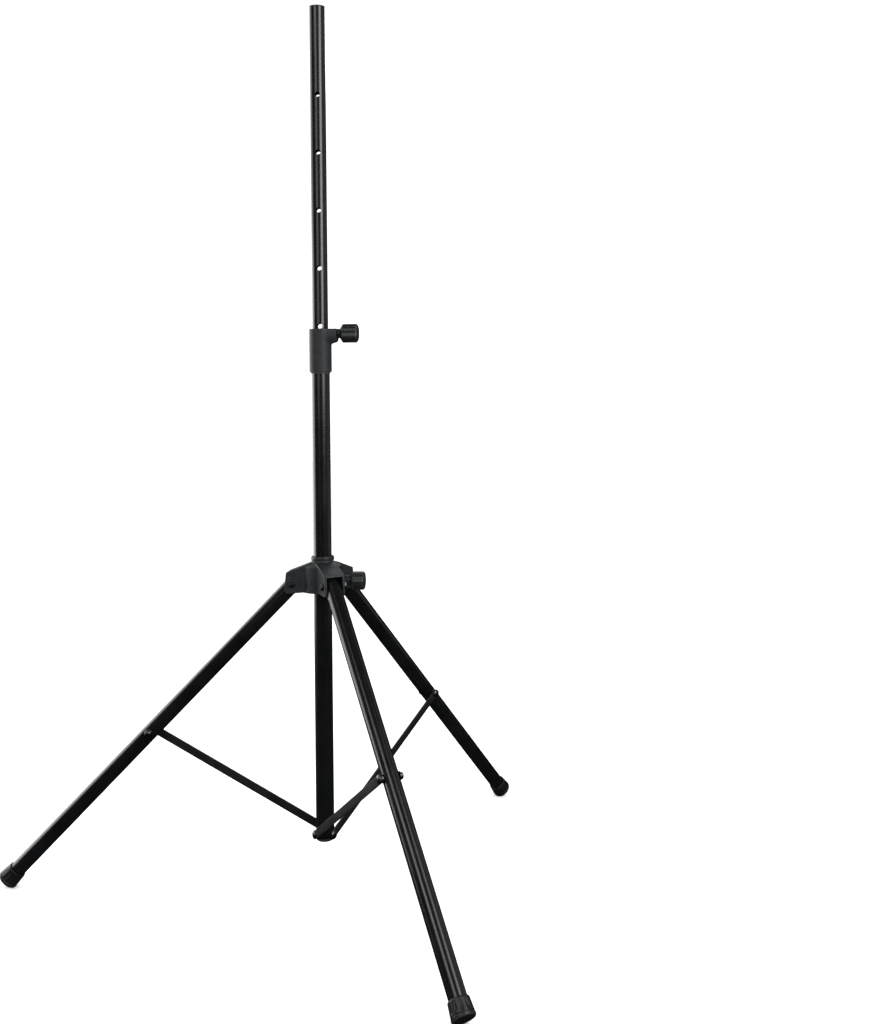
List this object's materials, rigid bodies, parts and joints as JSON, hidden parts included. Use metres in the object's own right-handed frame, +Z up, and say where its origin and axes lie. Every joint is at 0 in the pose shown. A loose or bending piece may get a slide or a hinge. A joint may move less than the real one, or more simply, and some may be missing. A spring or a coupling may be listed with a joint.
{
  "type": "speaker stand",
  "caption": "Folding tripod stand with a telescopic mast that ends in a pole for a loudspeaker; clamp screws hold the mast and the legs.",
  "frame": {"origin": "on the floor, at the middle of the rectangle that the three feet span; the mast stands 176 mm from it along +X", "axes": "+Z up along the mast; the first leg points along -X, and both clamp screws point along +X"},
  "size_m": [1.1092, 1.2736, 1.965],
  "materials": {
    "painted_tube": "semi-gloss black",
    "painted_bar": "satin black",
    "moulded_plastic": "fine-grained charcoal",
    "smooth_plastic": "satin black",
    "foot_rubber": "matt black",
    "fastener_steel": "blackened",
    "clamp_brass": "plain"
  },
  "bodies": {
    "lower_mast": {"lower_tube": "painted_tube", "tube_end_cap": "moulded_plastic", "collar": "moulded_plastic", "collar_bush": "smooth_plastic", "collar_rivet": "fastener_steel"},
    "mast_slider": {"mast_guide": "moulded_plastic"},
    "upper_mast": {"upper_tube": "painted_tube", "top_plug": "smooth_plastic"},
    "collar_clamp_pad": {"collar_pad": "clamp_brass"},
    "collar_clamp_knob": {"collar_stud": "fastener_steel", "collar_knob": "smooth_plastic"},
    "hub": {"hub": "moulded_plastic", "hub_sleeve": "smooth_plastic", "leg_1_pivot_bolt": "fastener_steel", "leg_1_pivot_nut": "fastener_steel", "leg_2_pivot_bolt": "fastener_steel", "leg_2_pivot_nut": "fastener_steel", "leg_3_pivot_bolt": "fastener_steel", "leg_3_pivot_nut": "fastener_steel"},
    "hub_clamp_pad": {"hub_pad": "clamp_brass"},
    "hub_clamp_knob": {"hub_stud": "fastener_steel", "hub_knob": "smooth_plastic"},
    "leg_1": {"leg_1_tube": "painted_tube", "leg_1_top_plug": "smooth_plastic", "leg_1_foot": "foot_rubber", "strut_1_bolt": "fastener_steel", "strut_1_nut": "fastener_steel", "strut_1_spacer": "fastener_steel"},
    "strut_1": {"strut_1": "painted_bar", "strut_1_pin": "fastener_steel"},
    "leg_2": {"leg_2_tube": "painted_tube", "leg_2_top_plug": "smooth_plastic", "leg_2_foot": "foot_rubber", "strut_2_bolt": "fastener_steel", "strut_2_nut": "fastener_steel", "strut_2_spacer": "fastener_steel"},
    "strut_2": {"strut_2": "painted_bar", "strut_2_pin": "fastener_steel"},
    "leg_3": {"leg_3_tube": "painted_tube", "leg_3_top_plug": "smooth_plastic", "leg_3_foot": "foot_rubber", "strut_3_bolt": "fastener_steel", "strut_3_nut": "fastener_steel", "strut_3_spacer": "fastener_steel"},
    "strut_3": {"strut_3": "painted_bar", "strut_3_pin": "fastener_steel"}
  },
  "joints": [
    {"name": "mast_slide", "type": "slide", "parent": "lower_mast", "child": "mast_slider", "axis": [0, 0, 1], "range_m": [-0.65, 0]},
    {"name": "mast_turn", "type": "hinge", "parent": "mast_slider", "child": "upper_mast", "pos_m": [0.17632, 0, 1.5], "axis": [0, 0, 1], "continuous": true},
    {"name": "collar_clamp_travel", "type": "slide", "parent": "lower_mast", "child": "collar_clamp_pad", "axis": [1, 0, 0], "range_m": [0, 0.003]},
    {"name": "collar_knob_turn", "type": "hinge", "parent": "collar_clamp_pad", "child": "collar_clamp_knob", "pos_m": [0.23632, 0, 1.2263], "axis": [1, 0, 0], "range_deg": [0, 722]},
    {"name": "hub_slide", "type": "slide", "parent": "lower_mast", "child": "hub", "axis": [0, 0, 1], "range_m": [0, 0.351]},
    {"name": "hub_clamp_travel", "type": "slide", "parent": "hub", "child": "hub_clamp_pad", "axis": [1, 0, 0], "range_m": [0, 0.003]},
    {"name": "hub_knob_turn", "type": "hinge", "parent": "hub_clamp_pad", "child": "hub_clamp_knob", "pos_m": [0.25632, 0, 0.67449], "axis": [1, 0, 0], "range_deg": [0, 722]},
    {"name": "leg_1_fold", "type": "hinge", "parent": "hub", "child": "leg_1", "pos_m": [0.11232, 0, 0.67149], "axis": [0, -1, 0], "range_deg": [0, 42.8]},
    {"name": "leg_2_fold", "type": "hinge", "parent": "hub", "child": "leg_2", "pos_m": [0.20832, -0.05543, 0.67149], "axis": [0.866, 0.5, 0], "range_deg": [0, 42.8]},
    {"name": "leg_3_fold", "type": "hinge", "parent": "hub", "child": "leg_3", "pos_m": [0.20832, 0.05543, 0.67149], "axis": [-0.866, 0.5, 0], "range_deg": [0, 42.8]},
    {"name": "strut_1_fold", "type": "hinge", "parent": "leg_1", "child": "strut_1", "pos_m": [-0.21322, 0, 0.34367], "axis": [0, 1, 0], "range_deg": [0, 92.4]},
    {"name": "strut_2_fold", "type": "hinge", "parent": "leg_2", "child": "strut_2", "pos_m": [0.37109, -0.33735, 0.34367], "axis": [-0.866, -0.5, 0], "range_deg": [0, 92.4]},
    {"name": "strut_3_fold", "type": "hinge", "parent": "leg_3", "child": "strut_3", "pos_m": [0.37109, 0.33735, 0.34367], "axis": [0.866, -0.5, 0], "range_deg": [0, 92.4]}
  ],
  "couplings": [
    {"joint": "collar_knob_turn", "follows": "collar_clamp_travel", "rad_per_m": 4188.8},
    {"joint": "hub_knob_turn", "follows": "hub_clamp_travel", "rad_per_m": 4188.8},
    {"joint": "leg_1_fold", "follows": "hub_slide", "rad_per_m": 2.1282},
    {"joint": "leg_2_fold", "follows": "hub_slide", "rad_per_m": 2.1282},
    {"joint": "leg_3_fold", "follows": "hub_slide", "rad_per_m": 2.1282},
    {"joint": "strut_1_fold", "follows": "hub_slide", "rad_per_m": 4.5945},
    {"joint": "strut_2_fold", "follows": "hub_slide", "rad_per_m": 4.5945},
    {"joint": "strut_3_fold", "follows": "hub_slide", "rad_per_m": 4.5945}
  ]
}
